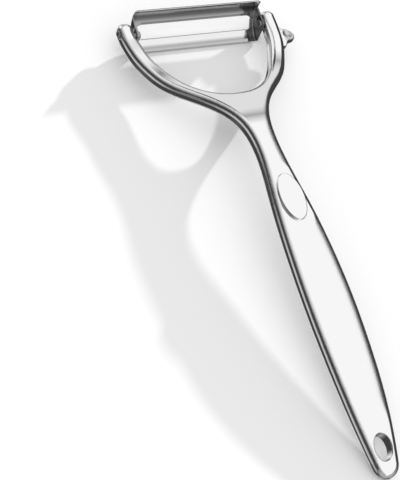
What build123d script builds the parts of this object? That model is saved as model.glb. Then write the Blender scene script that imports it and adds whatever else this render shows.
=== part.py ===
from build123d import *
import math
import os

os.makedirs("parts", exist_ok=True)

# Frame: the peeler lies on its back on z = 0, handle end at y = 0, arms towards +Y, front up.

# Casting, seen from the front (mm)
handle_length = 123.7          # handle end to the narrowest part of the neck
fork_length = 59.2             # neck to the tips of the arms
handle_end_radius = 4.8
handle_half_width = 9.3
neck_half_width = 4.65
fork_half_width = 33.6
arm_width = 5.8                # at the tips
web_length = 21.0              # neck to the bottom of the gap between the arms
tip_corner_radius = 2.4

# Casting, seen from the side (mm)
end_height = 3.5               # front face above the rest plane, at the handle end
arch_height = 18.1             # the same at the neck
arm_height = 9.85              # the same at the arms
end_thickness = 4.1
neck_thickness = 5.4
arm_thickness = 5.2
front_edge_radius = 1.9
back_edge_radius = 1.5

# Raised oval badge, bare, and hang hole
badge_half_length = 9.0
badge_half_width = 4.8
badge_step = 0.95
badge_root_depth = 1.0
badge_edge_radius = 0.3
badge_from_neck = 25.8
hole_half_length = 4.4
hole_half_width = 3.3
hole_from_end = 9.6
hole_edge_radius = 0.3

# Potato eye remover on the right arm
eye_reach = 5.0
eye_length = 9.0
eye_thickness = 2.8
eye_below_front = 1.7
eye_from_tips = 7.6
eye_root_depth = 2.0
eye_edge_radius = 0.5
eye_scoop_radius = 4.0
eye_scoop_depth = 0.5
eye_scoop_share = 0.6          # place of the scoop along the eye remover

# Swivel blade, a strip with an ear at each end
blade_sheet = 0.75
blade_width = 16.2             # straight across from edge to edge
blade_bow = 3.8                # how far the middle of the strip bows back
blade_slot_width = 5.5
blade_slot_end_radius = 2.0
blade_slot_offset = -1.4       # slot centre from the middle of the strip
blade_end_land = 2.2
blade_bend_radius = 1.3
blade_corner_radius = 1.6
blade_angle = 57.3             # strip above the rest plane, in degrees
blade_bevel_width = 1.1
blade_bevel_depth = 0.35
ear_clearance = 0.6
ear_round_radius = 1.9
ear_top_width = 5.0            # height of the ear above the middle of the strip

# Pivot pins, pressed into the arms and free in the ears
pivot_from_tips = 5.0
pivot_below_front = 1.9
pivot_to_strip = 1.2
pivot_to_middle = 0.6
pin_radius = 0.9
pin_press = 0.01
pin_running_clearance = 0.05
pin_head_radius = 1.5
pin_head_thickness = 0.7
pin_head_edge_radius = 0.35
pin_head_gap = 0.1
pin_end_inset = 0.3
pin_end_chamfer = 0.15

overrun = 5.0                  # how far cutting solids reach past the part
end_arc_angle = 12.0           # where the round handle end meets the sides, in degrees

# Outlines as shares: across, along
handle_outline_shares = [
    (0.67, 0.10), (0.79, 0.165), (0.95, 0.32), (1.0, 0.475), (0.93, 0.635), (0.74, 0.79),
]
neck_start_share = 0.97
fork_outline_shares = [
    (0.19, 0.123), (0.415, 0.315), (0.63, 0.425), (0.78, 0.52), (0.88, 0.625), (0.96, 0.745), (0.99, 0.845),
]
gap_outline_shares = [(0.985, 0.21), (0.93, 0.40), (0.825, 0.575), (0.655, 0.77), (0.42, 0.92), (0.175, 0.99)]

# Side view as shares: along, rise of the front face, thickness
handle_side_shares = [
    (0.0, 0.0, 0.0), (0.157, 0.303, 0.2), (0.358, 0.57, 0.47), (0.60, 0.80, 0.65), (0.85, 0.952, 0.85),
]
fork_side_shares = [
    (0.0, 0.0, 0.0), (0.154, 0.097, 0.5), (0.408, 0.611, 1.0), (0.613, 0.927, 1.0),
    (0.786, 0.98, 1.0), (0.918, 1.0, 1.0), (1.0, 0.945, 1.0),
]

# Eye remover outline as shares: reach out of the arm, along from its lower end
eye_lower_shares = [(0.0, 0.0), (0.09, 0.07), (0.38, 0.245), (0.73, 0.30), (0.98, 0.345)]
eye_upper_shares = [(1.0, 0.645), (0.71, 0.82), (0.29, 0.90), (0.0, 1.0)]

tip_y = handle_length + fork_length
gap_half_width = fork_half_width - arm_width
gap_depth = fork_length - web_length
arm_middle = fork_half_width - arm_width / 2
blade_half_length = gap_half_width - ear_clearance
blade_half_width = blade_width / 2
bow_radius = (blade_half_width ** 2 + blade_bow ** 2) / (2 * blade_bow)
bow_centre = bow_radius - blade_bow
arc_bottom = -90.0             # the bowed strip lies at the bottom of its circle, in degrees
reach = fork_half_width + overrun
sides = {"left": -1, "right": 1}


def mix(low, high, share):
    return low + (high - low) * share


def side_stations():
    # Place along the casting, height of its front face and its thickness there
    stations = []
    for along, rise, thick in handle_side_shares:
        height = mix(end_height, arch_height, rise)
        thickness = mix(end_thickness, neck_thickness, thick)
        stations.append((handle_length * along, height, thickness))
    for along, fall, thick in fork_side_shares:
        height = mix(arch_height, arm_height, fall)
        thickness = mix(neck_thickness, arm_thickness, thick)
        stations.append((handle_length + fork_length * along, height, thickness))
    return stations


def side_line(points):
    # Smooth line through the stations, run on past both ends so that no joint in it meets the outline
    line = Spline(*points)
    start = line.position_at(0) - line.tangent_at(0) * overrun
    end = line.position_at(1) + line.tangent_at(1) * overrun
    return Spline(start, *points, end)


def side_face():
    # The casting seen from the side
    stations = side_stations()
    front = side_line([(y, z) for y, z, _ in stations])
    back = side_line([(y, z - thickness) for y, z, thickness in stations])
    caps = [Line(front.position_at(place), back.position_at(place)) for place in (0, 1)]
    return make_face([front, back, *caps])


def outline_face():
    # The casting seen from the front, its two sides mirrored about the middle
    bend = math.radians(end_arc_angle)
    corner_y = tip_y - tip_corner_radius
    start = (handle_end_radius * math.cos(bend), handle_end_radius * (1 - math.sin(bend)))
    outer = [start]
    outer += [(handle_half_width * a, handle_length * b) for a, b in handle_outline_shares]
    outer += [(neck_half_width, handle_length * neck_start_share)]
    outer += [(fork_half_width * a, handle_length + fork_length * b) for a, b in fork_outline_shares]
    outer += [(fork_half_width, corner_y)]
    gap = [(gap_half_width, corner_y)]
    gap += [(gap_half_width * a, tip_y - gap_depth * b) for a, b in gap_outline_shares]
    gap += [(0, tip_y - gap_depth)]
    gap += [(-x, y) for x, y in reversed(gap[:-1])]
    edges = [
        ThreePointArc(start, (0, 0), (-start[0], start[1])),
        Spline(*gap, tangents=[(0, -1), (0, 1)]),
    ]
    for side in sides.values():
        end_tangent = (side * math.sin(bend), math.cos(bend))
        edges.append(Spline(*[(side * x, y) for x, y in outer], tangents=[end_tangent, (0, 1)]))
        outer_end = (side * (fork_half_width - tip_corner_radius), tip_y)
        inner_end = (side * (gap_half_width + tip_corner_radius), tip_y)
        turn = -side * tip_corner_radius
        edges.append(RadiusArc((side * fork_half_width, corner_y), outer_end, turn))
        edges.append(Line(outer_end, inner_end))
        edges.append(RadiusArc(inner_end, (side * gap_half_width, corner_y), turn))
    return make_face(edges)


def casting_blank():
    # Front outline and side outline meet in one solid, whose long edges are rounded
    plan = Pos(0, 0, -overrun) * extrude(outline_face(), amount=arch_height + 2 * overrun)
    blank = plan & Pos(-reach, 0, 0) * extrude(Plane.YZ * side_face(), amount=2 * reach)
    front = blank.faces().sort_by(SortBy.AREA)[-2:].sort_by(Axis.Z)[-1]
    blank = fillet(front.edges(), front_edge_radius)
    back = blank.faces().sort_by(SortBy.AREA)[-2:].sort_by(Axis.Z)[0]
    blank = fillet(back.edges(), back_edge_radius)
    return split(blank, bisect_by=Plane.XY)


def front_at(solid, x, y):
    # Front surface over a place on the rest plane: the point and the way it faces
    return solid.find_intersection_points(Axis((x, y, 0), (0, 0, 1)))[-1]


def badge():
    # Bare oval pad, raised off the front of the handle
    pad = extrude(Ellipse(badge_half_width, badge_half_length), amount=badge_root_depth + badge_step)
    pad = fillet(pad.edges().group_by(Axis.Z)[-1], badge_edge_radius)
    point, normal = front_at(blank, 0, handle_length - badge_from_neck)
    plane = Plane(origin=point, x_dir=(1, 0, 0), z_dir=normal)
    return plane.offset(-badge_root_depth).location * pad


def with_hang_hole(solid):
    cutter = extrude(Ellipse(hole_half_width, hole_half_length), amount=arch_height)
    solid = solid - Pos(0, hole_from_end, -overrun) * cutter
    rims = [edge for edge in solid.edges() if edge.is_closed]
    return fillet(rims, hole_edge_radius)


def eye_remover():
    # Small hooked scoop on the outer side of the right arm
    low_y = tip_y - eye_from_tips - eye_length
    lower = [(fork_half_width + eye_reach * a, low_y + eye_length * b) for a, b in eye_lower_shares]
    upper = [(fork_half_width + eye_reach * a, low_y + eye_length * b) for a, b in eye_upper_shares]
    upper = [lower[-1]] + upper
    root = [(x - eye_root_depth, y) for x, y in (lower[0], upper[-1])]
    edges = [Spline(*lower), Spline(*upper), Line(lower[0], root[0]), Line(*root), Line(root[1], upper[-1])]
    point, _ = front_at(blank, arm_middle, low_y + eye_length / 2)
    fin_front = point.Z - eye_below_front
    fin = Pos(0, 0, fin_front - eye_thickness) * extrude(make_face(edges), amount=eye_thickness)
    fin = fillet(fin.edges(), eye_edge_radius)
    scoop_x = fork_half_width + eye_reach / 2
    scoop_z = fin_front + eye_scoop_radius - eye_scoop_depth
    return fin - Pos(scoop_x, low_y + eye_length * eye_scoop_share, scoop_z) * Sphere(eye_scoop_radius)


def bar_outline(low_place, high_place):
    # Hull round the pivot and the back of the strip, between two places across its width
    low, high = [math.degrees(math.asin(place / bow_radius)) for place in (low_place, high_place)]
    back = CenterArc((0, bow_centre), bow_radius + blade_sheet, arc_bottom + low, high - low)
    eye = Pos(-pivot_to_middle, pivot_to_strip) * Circle(ear_round_radius)
    return make_hull([back.edge(), eye.edge()])


def along_blade(face, half_length):
    return Pos(0, 0, -half_length) * extrude(face, amount=2 * half_length)


def strip_height(place):
    # Hollow side of the strip at a place across its width
    return bow_centre - math.sqrt(bow_radius ** 2 - place ** 2)


def bevel_cutter(edge_place):
    # Ground bevel on the hollow side, above an edge of the strip
    inner_place = edge_place + blade_bevel_width
    outer_place = edge_place - blade_bevel_width
    edge_height = strip_height(edge_place) - blade_bevel_depth
    corners = [
        (inner_place, strip_height(inner_place)),
        (edge_place, edge_height),
        (outer_place, edge_height),
        (outer_place, overrun),
        (inner_place, overrun),
    ]
    straight = blade_half_length - blade_end_land - blade_slot_end_radius
    return along_blade(make_face(Polyline(*corners, close=True)), straight)


def corner_cutter(side):
    # Rounds the upper corner of the strip at one end
    place = blade_half_width - blade_corner_radius
    end = side * (blade_half_length - blade_corner_radius)
    square = Pos(side * reach / 2, reach / 2) * Rectangle(reach, reach)
    cutter = extrude(square - Circle(blade_corner_radius), amount=2 * overrun)
    return Plane(origin=(place, -overrun, end), x_dir=(0, 0, 1), z_dir=(0, 1, 0)) * cutter


def flat_blade():
    # First axis across the strip, second out of its hollow side, third along it
    bar = along_blade(bar_outline(-blade_half_width, blade_half_width), blade_half_length)
    bends = [edge for edge in bar.edges().filter_by(GeomType.CIRCLE) if edge.radius > bow_radius]
    bar = fillet(bends, blade_bend_radius)
    hollow = Pos(0, bow_centre) * Cylinder(bow_radius, 2 * (blade_half_length - blade_sheet))
    hollow = fillet(hollow.edges().filter_by(GeomType.CIRCLE), blade_bend_radius - blade_sheet)
    ring = Pos(0, bow_centre) * (Circle(bow_radius + blade_sheet) - Circle(bow_radius))
    strip = ring & Pos(0, -blade_width / 2) * Rectangle(blade_width, 2 * blade_width)
    ear = bar_outline(-blade_half_width, ear_top_width) & Rectangle(blade_width, 2 * blade_width)
    solid = (bar - hollow) & along_blade(strip + ear, reach)
    slot_length = 2 * (blade_half_length - blade_end_land)
    slot = RectangleRounded(slot_length, blade_slot_width, blade_slot_end_radius)
    slot_plane = Plane(origin=(blade_slot_offset, -overrun, 0), x_dir=(0, 0, 1), z_dir=(0, 1, 0))
    solid = solid - extrude(slot_plane * slot, amount=2 * overrun)
    for edge_place in (-blade_half_width, blade_slot_offset + blade_slot_width / 2):
        solid = solid - bevel_cutter(edge_place)
    for side in sides.values():
        solid = solid - corner_cutter(side)
    hole_radius = pin_radius + pin_running_clearance
    return solid - Pos(-pivot_to_middle, pivot_to_strip) * Cylinder(hole_radius, 2 * reach)


def blade():
    # Turned to its tilt with the ear holes on the pivot axis
    tilt = math.radians(blade_angle)
    across = Vector(0, math.cos(tilt), math.sin(tilt))
    outward = Vector(0, -math.sin(tilt), math.cos(tilt))
    origin = pivot + across * pivot_to_middle - outward * pivot_to_strip
    return Plane(origin=origin, x_dir=across, z_dir=(1, 0, 0)) * flat_blade()


def pin(side):
    # Head inside the ear, shaft through the ear and the arm
    ear_inside = blade_half_length - blade_sheet
    head_start = ear_inside - pin_head_gap - pin_head_thickness
    arm_outside = pin_line_crossings[-1].X if side > 0 else -pin_line_crossings[0].X
    shaft_length = arm_outside - pin_end_inset - head_start
    shaft = Cylinder(pin_radius, shaft_length, align=(Align.CENTER, Align.CENTER, Align.MIN))
    shaft = chamfer(shaft.edges().group_by(Axis.Z)[-1], pin_end_chamfer)
    head = Cylinder(pin_head_radius, pin_head_thickness, align=(Align.CENTER, Align.CENTER, Align.MIN))
    head = fillet(head.edges().group_by(Axis.Z)[0], pin_head_edge_radius)
    start = pivot + Vector(side * head_start, 0, 0)
    return Plane(origin=start, x_dir=(0, 1, 0), z_dir=(side, 0, 0)) * (shaft + head)


blank = casting_blank()
arm_front, _ = front_at(blank, arm_middle, tip_y - pivot_from_tips)
pivot = Vector(0, arm_front.Y, arm_front.Z - pivot_below_front)
pin_line_crossings = [point for point, _ in blank.find_intersection_points(Axis(pivot, (1, 0, 0)))]
pin_line = Pos(pivot) * Rot(0, 90, 0) * Cylinder(pin_radius - pin_press, 2 * reach)

handle = with_hang_hole(blank) + badge() + eye_remover() - pin_line
pieces = {"handle": handle, "blade": blade()}
for name, side in sides.items():
    pieces["pivot_pin_" + name] = pin(side)

# The frame's origin goes under the middle of the whole peeler
box = Compound(list(pieces.values())).bounding_box()
shift = Pos(-box.center().X, -box.center().Y, -box.min.Z)
for name, piece in pieces.items():
    export_step(shift * piece, "parts/" + name + ".step")
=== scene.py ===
"""Looks, studio and camera of the vegetable peeler, around its CAD model."""
import math

import bpy
from mathutils import Matrix, Vector

MM = 0.001
FADE_IN = (0.0, 1.0)
FADE_OUT = (1.0, 0.0)

# Camera in the frame of the part, fitted to the outline in the photograph
CAMERA_PLACE_MM = (-193.83, -124.82, 294.22)
IMAGE_RIGHT = (0.87694, -0.35454, 0.32447)
IMAGE_DOWN = (-0.17438, -0.86384, -0.47262)
LENS_MM = 78.34
SENSOR_MM = 36.0

# How far polishing has softened the edges of the casting: all round, and on the grip's right side
FORK_EDGE_MM = 0.25
GRIP_EDGE_MM = 4.4
EDGE_SAMPLES = 8

# Where the wide edge of the grip starts and stops, as shares of the casting's box
FADE_AT_NECK = (0.66, 0.80)
FADE_AT_HOLE = (0.07, 0.14)
FADE_AT_MIDDLE = (0.45, 0.49)

# Middle of the badge and the reach of its crisp surroundings, as shares of the casting's box, at
# any height. The wide edge starts this many reaches away.
BADGE_CENTRE = (0.463, 0.535, 0.0)
BADGE_REACH = (0.1, 0.068, 10.0)
FADE_AT_BADGE = (0.9, 1.2)

# Chrome plate, with the scale, detail and contrast of its haze and polishing waves
CHROME_GREY = 0.97
HAZE_SCALE, HAZE_DETAIL, HAZE_CONTRAST = 120.0, 3.0, (0.35, 0.75)
CHROME_ROUGHNESS = (0.02, 0.05)
WAVE_SCALE, WAVE_DETAIL = 90.0, 1.0
WAVE_HEIGHT_MM, WAVE_STRENGTH = 0.02, 0.5

# The eye remover, left duller than the arm, starts this far across the casting's box
FADE_AT_HOOK = (0.925, 0.945)
HOOK_GREY = 0.72
HOOK_ADDED_ROUGHNESS = 0.25

# Blade steel, with its grain drawn out along the strip
GRAIN_SCALE, GRAIN_DETAIL, GRAIN_CONTRAST = 60.0, 6.0, (0.3, 0.7)
GRAIN_STRETCH = (1.0, 40.0, 40.0)
GRAIN_GREYS = ((0.0, 0.84), (1.0, 0.95))
GRAIN_HEIGHT_MM, GRAIN_STRENGTH = 0.004, 0.4
STEEL_ROUGHNESS = (0.08, 0.16)

# Painted reflection on the blade by height in its box: dark bands at the ground bevel and back
# half
PAINTED_BLADE_BANDS = (
    (0.0, 0.35), (0.03, 0.35), (0.04, 0.65), (0.07, 0.5),
    (0.1, 1.0), (0.55, 1.0), (0.65, 0.5), (1.0, 0.9),
)

# Painted shade on the blade along its length: its bent ears, most the right one, are painted
# darker
PAINTED_EAR_SHADE = ((0.0, 0.75), (0.03, 0.8), (0.04, 1.0), (0.977, 1.0), (0.984, 0.35), (1.0, 0.3))

# Pins: plain steel, with turning rings across their length
PIN_GREY = 0.42
RING_SCALE, RING_DETAIL, RING_CONTRAST = 900.0, 3.0, (0.3, 0.7)
RING_STRETCH = (4.0, 1.0, 1.0)
RING_HEIGHT_MM, RING_STRENGTH = 0.01, 0.4
PIN_ROUGHNESS = (0.18, 0.34)

# Floor, light on the object, and the white that the camera sees behind it
FLOOR_HALF_M = 3.0
WHITE = 1.0
ROOM_LIGHT = 0.83
LAMP_TOWARD = (0.80, 0.56, 0.27)
LAMP_SPREAD_DEGREES = 2.0
LAMP_STRENGTH = 2.4

# The room that the metal mirrors, in place of the floor and background: a dark studio with white
# panels. Its front is the way that the flat front of the casting mirrors the photograph's camera.
ROOM_FRONT = (0.5447, 0.1674, 0.8218)
ROOM_DARK = 0.05

# Each panel has four angles around the room's long axis, in degrees from its front and towards
# the eye remover: where the panel starts, is full, starts to fade and ends. Then the same four
# along that axis, from -1 at the heel to 1 at the head, and its grey.
ALL_ROUND = (-900, -800, 800, 900)
PAST_HEEL = (-3, -2)
PAST_HEAD = (2, 3)
PANELS = (
    ((-85, -15, 10, 20), PAST_HEEL + (0.4, 0.6), 0.95),        # over the handle
    ((-175, -155, -145, -110), (-0.9, 0.0, 0.5, 0.7), 0.55),   # low on the left
    ((115, 135, 150, 175), (-0.9, 0.3) + PAST_HEAD, 0.75),     # from low on the right to below
    ((-90, -85, -30, -15), (0.4, 0.6) + PAST_HEAD, 0.9),       # left of the head
    ((-5, 10, 20, 100), (0.4, 0.6) + PAST_HEAD, 0.75),         # right of the head
    (ALL_ROUND, (0.8, 0.9) + PAST_HEAD, 0.5),                  # wall past the head
    (ALL_ROUND, PAST_HEEL + (-0.8, -0.4), 0.4),                # wall past the heel
)


def rgb(grey):
    return (grey, grey, grey, 1.0)


def new_material(name):
    material = bpy.data.materials.new(name)
    material.use_nodes = True
    nodes = material.node_tree.nodes
    return material, nodes, material.node_tree.links, nodes["Principled BSDF"]


def set_input(links, socket, source):
    """Link a socket to another node's output, or give it a value."""
    if isinstance(source, bpy.types.NodeSocket):
        links.new(source, socket)
    else:
        socket.default_value = source


def combine(nodes, links, operation, first, second):
    node = nodes.new("ShaderNodeMath")
    node.operation = operation
    set_input(links, node.inputs[0], first)
    set_input(links, node.inputs[1], second)
    return node.outputs["Value"]


def combine_vectors(nodes, links, operation, first, second):
    node = nodes.new("ShaderNodeVectorMath")
    node.operation = operation
    set_input(links, node.inputs[0], first)
    set_input(links, node.inputs[1], second)
    return node


def map_range(nodes, links, value, span, target, smooth=False):
    node = nodes.new("ShaderNodeMapRange")
    node.clamp = True
    if smooth:
        node.interpolation_type = "SMOOTHSTEP"
    links.new(value, node.inputs["Value"])
    node.inputs["From Min"].default_value, node.inputs["From Max"].default_value = span
    node.inputs["To Min"].default_value, node.inputs["To Max"].default_value = target
    return node.outputs["Result"]


def grey_ramp(nodes, links, value, stops):
    """Turn a value into greys by stops, each a place from 0 to 1 and its grey."""
    node = nodes.new("ShaderNodeValToRGB")
    elements = node.color_ramp.elements
    elements[0].position, elements[1].position = stops[0][0], stops[-1][0]
    elements[0].color, elements[1].color = rgb(stops[0][1]), rgb(stops[-1][1])
    for place, grey in stops[1:-1]:
        elements.new(place).color = rgb(grey)
    links.new(value, node.inputs["Fac"])
    return node.outputs["Color"]


def mix_colours(nodes, links, share, first, second, blend="MIX"):
    mix = nodes.new("ShaderNodeMix")
    mix.data_type = "RGBA"
    mix.blend_type = blend
    set_input(links, mix.inputs["Factor"], share)
    colour_inputs = [socket for socket in mix.inputs if socket.type == "RGBA"]
    for socket, source in zip(colour_inputs, (first, second)):
        set_input(links, socket, rgb(source) if isinstance(source, float) else source)
    return next(socket for socket in mix.outputs if socket.type == "RGBA")


def noise(nodes, links, scale, detail, stretch=(1.0, 1.0, 1.0)):
    """Noise in the part's own metres, finer along an axis the larger its stretch."""
    coordinates = nodes.new("ShaderNodeTexCoord")
    mapping = nodes.new("ShaderNodeMapping")
    mapping.inputs["Scale"].default_value = stretch
    texture = nodes.new("ShaderNodeTexNoise")
    texture.inputs["Scale"].default_value = scale
    texture.inputs["Detail"].default_value = detail
    links.new(coordinates.outputs["Object"], mapping.inputs["Vector"])
    links.new(mapping.outputs["Vector"], texture.inputs["Vector"])
    return texture.outputs["Fac"]


def place_in_box(nodes, links):
    """The place in the piece's own box, from 0 to 1, as a vector and as its three parts."""
    place = nodes.new("ShaderNodeTexCoord").outputs["Generated"]
    parts = nodes.new("ShaderNodeSeparateXYZ")
    links.new(place, parts.inputs["Vector"])
    return place, parts.outputs


def add_bump(nodes, links, shader, height, distance_mm, strength):
    bump = nodes.new("ShaderNodeBump")
    bump.inputs["Strength"].default_value = strength
    bump.inputs["Distance"].default_value = distance_mm * MM
    links.new(height, bump.inputs["Height"])
    links.new(bump.outputs["Normal"], shader.inputs["Normal"])
    return bump


def edge_radius(nodes, links):
    """Wide on the right side of the grip, narrow on the fork, by the hole and around the badge."""
    place, parts = place_in_box(nodes, links)
    from_badge = combine_vectors(nodes, links, "SUBTRACT", place, BADGE_CENTRE).outputs["Vector"]
    reaches = combine_vectors(nodes, links, "DIVIDE", from_badge, BADGE_REACH).outputs["Vector"]
    length = nodes.new("ShaderNodeVectorMath")
    length.operation = "LENGTH"
    links.new(reaches, length.inputs[0])
    share = map_range(nodes, links, parts["Y"], FADE_AT_NECK, FADE_OUT, True)
    for value, span in (
        (parts["Y"], FADE_AT_HOLE),
        (parts["X"], FADE_AT_MIDDLE),
        (length.outputs["Value"], FADE_AT_BADGE),
    ):
        fade = map_range(nodes, links, value, span, FADE_IN, True)
        share = combine(nodes, links, "MULTIPLY", share, fade)
    return map_range(nodes, links, share, (0.0, 1.0), (FORK_EDGE_MM * MM, GRIP_EDGE_MM * MM))


def chrome_material():
    """Bright plate with soft polishing waves and a faint haze, duller on the eye remover."""
    material, nodes, links, shader = new_material("chrome_plate")
    shader.inputs["Metallic"].default_value = 1.0
    parts = place_in_box(nodes, links)[1]
    hook = map_range(nodes, links, parts["X"], FADE_AT_HOOK, FADE_IN, True)
    links.new(mix_colours(nodes, links, hook, CHROME_GREY, HOOK_GREY), shader.inputs["Base Color"])
    haze = noise(nodes, links, HAZE_SCALE, HAZE_DETAIL)
    haze = map_range(nodes, links, haze, HAZE_CONTRAST, CHROME_ROUGHNESS)
    dullness = combine(nodes, links, "MULTIPLY", hook, HOOK_ADDED_ROUGHNESS)
    links.new(combine(nodes, links, "ADD", dullness, haze), shader.inputs["Roughness"])
    waves = noise(nodes, links, WAVE_SCALE, WAVE_DETAIL)
    bump = add_bump(nodes, links, shader, waves, WAVE_HEIGHT_MM, WAVE_STRENGTH)
    soft_edges = nodes.new("ShaderNodeBevel")
    soft_edges.samples = EDGE_SAMPLES
    links.new(edge_radius(nodes, links), soft_edges.inputs["Radius"])
    links.new(soft_edges.outputs["Normal"], bump.inputs["Normal"])
    return material


def steel_material():
    """Rolled strip: fine grain lines along its length over a bright ground, darkened by painted
    reflection bands and painted shade at the ears.
    """
    material, nodes, links, shader = new_material("blade_steel")
    shader.inputs["Metallic"].default_value = 1.0
    parts = place_in_box(nodes, links)[1]
    grain = noise(nodes, links, GRAIN_SCALE, GRAIN_DETAIL, GRAIN_STRETCH)
    colour = grey_ramp(nodes, links, grain, GRAIN_GREYS)
    # Painted reflection bands by height darken the grain's greys
    # Painted shade at the bent ears darkens them too
    for value, stops in ((parts["Z"], PAINTED_BLADE_BANDS), (parts["X"], PAINTED_EAR_SHADE)):
        greys = grey_ramp(nodes, links, value, stops)
        colour = mix_colours(nodes, links, 1.0, colour, greys, "MULTIPLY")
    links.new(colour, shader.inputs["Base Color"])
    roughness = map_range(nodes, links, grain, GRAIN_CONTRAST, STEEL_ROUGHNESS)
    links.new(roughness, shader.inputs["Roughness"])
    add_bump(nodes, links, shader, grain, GRAIN_HEIGHT_MM, GRAIN_STRENGTH)
    return material


def pin_material():
    """Plain drawn steel with rings left by the turning."""
    material, nodes, links, shader = new_material("pin_steel")
    shader.inputs["Base Color"].default_value = rgb(PIN_GREY)
    shader.inputs["Metallic"].default_value = 1.0
    rings = noise(nodes, links, RING_SCALE, RING_DETAIL, RING_STRETCH)
    roughness = map_range(nodes, links, rings, RING_CONTRAST, PIN_ROUGHNESS)
    links.new(roughness, shader.inputs["Roughness"])
    add_bump(nodes, links, shader, rings, RING_HEIGHT_MM, RING_STRENGTH)
    return material


def dress(node, material):
    node.data.materials.clear()
    node.data.materials.append(material)


def make_camera():
    data = bpy.data.cameras.new("camera")
    data.lens = LENS_MM
    data.sensor_width = SENSOR_MM
    right = Vector(IMAGE_RIGHT)
    down = Vector(IMAGE_DOWN)
    forward = right.cross(down)
    matrix = Matrix((right, -down, -forward)).transposed().to_4x4()
    matrix.translation = Vector(CAMERA_PLACE_MM) * MM
    camera = bpy.data.objects.new("camera", data)
    bpy.context.scene.collection.objects.link(camera)
    camera.matrix_world = matrix
    bpy.context.scene.camera = camera


def make_floor():
    """White paper. The metal mirrors the room in its place."""
    mesh = bpy.data.meshes.new("floor")
    half = FLOOR_HALF_M
    corners = [(-half, -half, 0), (half, -half, 0), (half, half, 0), (-half, half, 0)]
    mesh.from_pydata(corners, [], [(0, 1, 2, 3)])
    floor = bpy.data.objects.new("floor", mesh)
    bpy.context.scene.collection.objects.link(floor)
    material, nodes, links, shader = new_material("floor_paper")
    shader.inputs["Base Color"].default_value = rgb(WHITE)
    shader.inputs["Roughness"].default_value = 1.0
    shader.inputs["Specular IOR Level"].default_value = 0.0
    clear = nodes.new("ShaderNodeBsdfTransparent")
    path = nodes.new("ShaderNodeLightPath")
    mix = nodes.new("ShaderNodeMixShader")
    links.new(path.outputs["Is Glossy Ray"], mix.inputs["Fac"])
    links.new(shader.outputs["BSDF"], mix.inputs[1])
    links.new(clear.outputs["BSDF"], mix.inputs[2])
    links.new(mix.outputs["Shader"], nodes["Material Output"].inputs["Surface"])
    mesh.materials.append(material)


def room_panel(nodes, links, degrees, head, around, along, grey):
    """The panel's grey, fading to nothing past its four edges."""
    share = grey
    for value, (start, full, fade, end) in ((degrees, around), (head, along)):
        rise = map_range(nodes, links, value, (start, full), FADE_IN)
        fall = map_range(nodes, links, value, (fade, end), FADE_OUT)
        share = combine(nodes, links, "MULTIPLY", rise, share)
        share = combine(nodes, links, "MULTIPLY", share, fall)
    return share


def room_greys(nodes, links):
    """The grey of the mirrored room in each direction."""
    front_axis = Vector(ROOM_FRONT)
    side_axis = Vector((0, 1, 0)).cross(front_axis).normalized()
    head_axis = front_axis.cross(side_axis)
    direction = nodes.new("ShaderNodeTexCoord").outputs["Generated"]
    side, head, front = (
        combine_vectors(nodes, links, "DOT_PRODUCT", direction, axis).outputs["Value"]
        for axis in (side_axis, head_axis, front_axis)
    )
    angle = combine(nodes, links, "ARCTAN2", side, front)
    degrees = combine(nodes, links, "MULTIPLY", angle, math.degrees(1.0))
    room = ROOM_DARK
    for around, along, grey in PANELS:
        panel = room_panel(nodes, links, degrees, head, around, along, grey)
        room = combine(nodes, links, "MAXIMUM", panel, room)
    return room


def make_world():
    world = bpy.data.worlds.new("studio")
    world.use_nodes = True
    bpy.context.scene.world = world
    nodes = world.node_tree.nodes
    links = world.node_tree.links
    room = room_greys(nodes, links)
    path = nodes.new("ShaderNodeLightPath")
    seen = mix_colours(nodes, links, path.outputs["Is Glossy Ray"], ROOM_LIGHT, room)
    for ray in ("Is Camera Ray", "Is Transmission Ray"):
        seen = mix_colours(nodes, links, path.outputs[ray], seen, WHITE)
    background = nodes["Background"]
    background.inputs["Strength"].default_value = 1.0
    links.new(seen, background.inputs["Color"])


def make_lamp():
    """A low lamp far off, which the metal doesn't mirror."""
    data = bpy.data.lights.new("low_lamp", "SUN")
    data.angle = math.radians(LAMP_SPREAD_DEGREES)
    data.energy = LAMP_STRENGTH
    lamp = bpy.data.objects.new("low_lamp", data)
    bpy.context.scene.collection.objects.link(lamp)
    lamp.rotation_euler = Vector(LAMP_TOWARD).to_track_quat("Z", "Y").to_euler()
    lamp.visible_glossy = False


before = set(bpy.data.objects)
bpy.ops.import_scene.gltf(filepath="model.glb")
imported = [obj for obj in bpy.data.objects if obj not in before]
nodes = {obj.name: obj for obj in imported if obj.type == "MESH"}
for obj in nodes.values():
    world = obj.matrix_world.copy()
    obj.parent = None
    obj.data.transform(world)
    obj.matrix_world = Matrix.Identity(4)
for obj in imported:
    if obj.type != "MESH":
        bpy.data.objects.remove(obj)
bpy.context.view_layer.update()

dress(nodes["handle"], chrome_material())
dress(nodes["blade"], steel_material())
pins = pin_material()
for name in ("pivot_pin_left", "pivot_pin_right"):
    dress(nodes[name], pins)

make_floor()
make_world()
make_lamp()
make_camera()

bpy.context.scene.view_settings.view_transform = "Standard"
